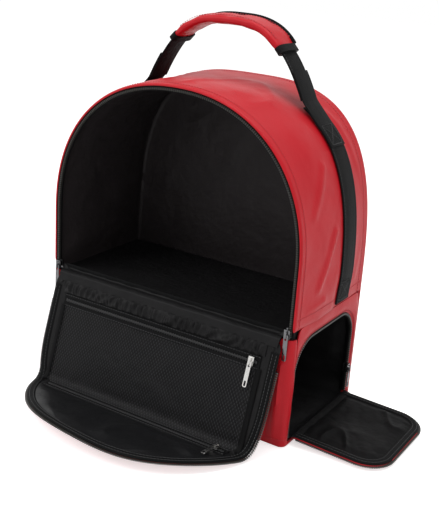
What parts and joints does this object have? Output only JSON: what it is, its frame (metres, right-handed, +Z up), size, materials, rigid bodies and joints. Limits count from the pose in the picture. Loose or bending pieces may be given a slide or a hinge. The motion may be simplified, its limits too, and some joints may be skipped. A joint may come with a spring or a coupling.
{
  "type": "boot backpack",
  "caption": "Upright boot and gear backpack with an arched main compartment, fold-down mesh-pocket front, side boot compartment, webbing carry handle and shoulder straps.",
  "frame": {"origin": "centre of the underside of the base, on the floor", "axes": "+Z up, the front with the fold-down flap faces -Y, the boot door opens to +X"},
  "size_m": [0.5216, 0.415, 0.5185],
  "materials": {
    "red_coated_fabric": "satin coated red fabric with foam backing",
    "black_lining": "thin black woven lining",
    "black_webbing": "ribbed black webbing and zip tape",
    "black_mesh": "black knitted mesh",
    "black_coil": "black nylon zip teeth",
    "black_plastic": "moulded black plastic",
    "bright_nickel": "bright nickel plated die-cast metal",
    "black_nickel": "black nickel plated die-cast metal"
  },
  "bodies": {
    "bag": {"base_panel": "red_coated_fabric", "compartment_floor": "black_lining", "opening_sill": "black_webbing", "front_lower_panel": "red_coated_fabric", "left_lower_panel": "red_coated_fabric", "right_lower_frame": "red_coated_fabric", "arch_panel": "red_coated_fabric", "back_panel": "red_coated_fabric", "back_pad": "black_mesh", "main_lining": "black_lining", "boot_lining": "black_lining", "main_zip_tape": "black_webbing", "main_zip_teeth": "black_coil", "boot_zip_tape": "black_webbing", "boot_zip_teeth": "black_coil", "side_webbing_left": "black_webbing", "side_webbing_right": "black_webbing", "strap_tab_left": "black_webbing", "strap_tab_right": "black_webbing"},
    "front_flap": {"flap_panel_upper": "red_coated_fabric", "flap_lining_upper": "black_lining", "flap_gather": "black_lining", "flap_tape_left": "black_webbing", "flap_tape_right": "black_webbing", "flap_teeth_left": "black_coil", "flap_teeth_right": "black_coil", "pocket_mesh": "black_mesh", "pocket_upper_tape": "black_webbing", "pocket_upper_coil": "black_coil"},
    "flap_end": {"flap_panel_end": "red_coated_fabric", "flap_lining_end": "black_lining", "flap_tape_end": "black_webbing", "flap_teeth_end": "black_coil", "pocket_lower_tape": "black_webbing", "pocket_lower_coil": "black_coil"},
    "boot_door": {"boot_door_panel": "red_coated_fabric", "boot_door_lining": "black_lining", "boot_door_tape": "black_webbing", "boot_door_teeth": "black_coil"},
    "carry_handle": {"handle_webbing": "black_webbing", "handle_grip": "red_coated_fabric", "handle_collar_left": "black_webbing", "handle_collar_right": "black_webbing"},
    "strap_left": {"shoulder_strap_left": "black_mesh", "strap_webbing_left": "black_webbing", "ladder_lock_left": "black_plastic"},
    "strap_right": {"shoulder_strap_right": "black_mesh", "strap_webbing_right": "black_webbing", "ladder_lock_right": "black_plastic"},
    "main_slider_left": {"main_left_slider": "black_nickel"},
    "main_pull_left": {"main_left_pull": "black_nickel"},
    "main_slider_right": {"main_right_slider": "black_nickel"},
    "main_pull_right": {"main_right_pull": "black_nickel"},
    "boot_slider": {"boot_zip_slider": "black_nickel"},
    "boot_pull": {"boot_zip_pull": "black_nickel"},
    "pocket_slider_upper": {"pocket_upper_slider": "bright_nickel"},
    "pocket_pull_upper": {"pocket_upper_pull": "bright_nickel"},
    "pocket_slider_lower": {"pocket_lower_slider": "bright_nickel"},
    "pocket_pull_lower": {"pocket_lower_pull": "bright_nickel"}
  },
  "joints": [
    {"name": "flap_hinge", "type": "hinge", "parent": "bag", "child": "front_flap", "pos_m": [0, -0.0993, 0.151], "axis": [-1, 0, 0], "range_deg": [0, 162]},
    {"name": "flap_fold", "type": "hinge", "parent": "front_flap", "child": "flap_end", "pos_m": [0, -0.15062, 0.0047], "axis": [1, 0, 0], "range_deg": [0, 81]},
    {"name": "boot_door_hinge", "type": "hinge", "parent": "bag", "child": "boot_door", "pos_m": [0.195, 0, 0.008], "axis": [0, -1, 0], "range_deg": [0, 92]},
    {"name": "handle_swing", "type": "hinge", "parent": "bag", "child": "carry_handle", "pos_m": [0, 0.03, 0.4323], "axis": [1, 0, 0], "range_deg": [-30, 30]},
    {"name": "strap_swing_left", "type": "hinge", "parent": "bag", "child": "strap_left", "pos_m": [-0.078, 0.1038, 0.402], "axis": [1, 0, 0], "range_deg": [0, 40]},
    {"name": "strap_swing_right", "type": "hinge", "parent": "bag", "child": "strap_right", "pos_m": [0.078, 0.1038, 0.402], "axis": [1, 0, 0], "range_deg": [0, 40]},
    {"name": "main_slider_left_travel", "type": "slide", "parent": "bag", "child": "main_slider_left", "axis": [0, 0, 1], "range_m": [0, 0.078]},
    {"name": "main_pull_left_swing", "type": "hinge", "parent": "main_slider_left", "child": "main_pull_left", "pos_m": [-0.1856, -0.1027, 0.1585], "axis": [-1, 0, 0], "range_deg": [0, 150]},
    {"name": "main_slider_right_travel", "type": "slide", "parent": "bag", "child": "main_slider_right", "axis": [0, 0, 1], "range_m": [0, 0.078]},
    {"name": "main_pull_right_swing", "type": "hinge", "parent": "main_slider_right", "child": "main_pull_right", "pos_m": [0.1856, -0.1027, 0.1585], "axis": [-1, 0, 0], "range_deg": [0, 150]},
    {"name": "boot_slider_travel", "type": "slide", "parent": "bag", "child": "boot_slider", "axis": [0, 0, 1], "range_m": [0, 0.044]},
    {"name": "boot_pull_swing", "type": "hinge", "parent": "boot_slider", "child": "boot_pull", "pos_m": [0.1984, 0.082, 0.048], "axis": [0, -1, 0], "range_deg": [0, 150]},
    {"name": "pocket_slider_upper_travel", "type": "slide", "parent": "front_flap", "child": "pocket_slider_upper", "axis": [-1, 0, 0], "range_m": [0, 0.29]},
    {"name": "pocket_pull_upper_lift", "type": "hinge", "parent": "pocket_slider_upper", "child": "pocket_pull_upper", "pos_m": [0.148, -0.11998, 0.11776], "axis": [-1, 0, 0], "range_deg": [0, 165]},
    {"name": "pocket_slider_lower_travel", "type": "slide", "parent": "flap_end", "child": "pocket_slider_lower", "axis": [-1, 0, 0], "range_m": [0, 0.264]},
    {"name": "pocket_pull_lower_lift", "type": "hinge", "parent": "pocket_slider_lower", "child": "pocket_pull_lower", "pos_m": [0.134, -0.16255, 0.01246], "axis": [-1, 0, 0], "range_deg": [0, 110]}
  ],
  "couplings": [
    {"joint": "flap_fold", "follows": "flap_hinge", "ratio": 0.5}
  ]
}
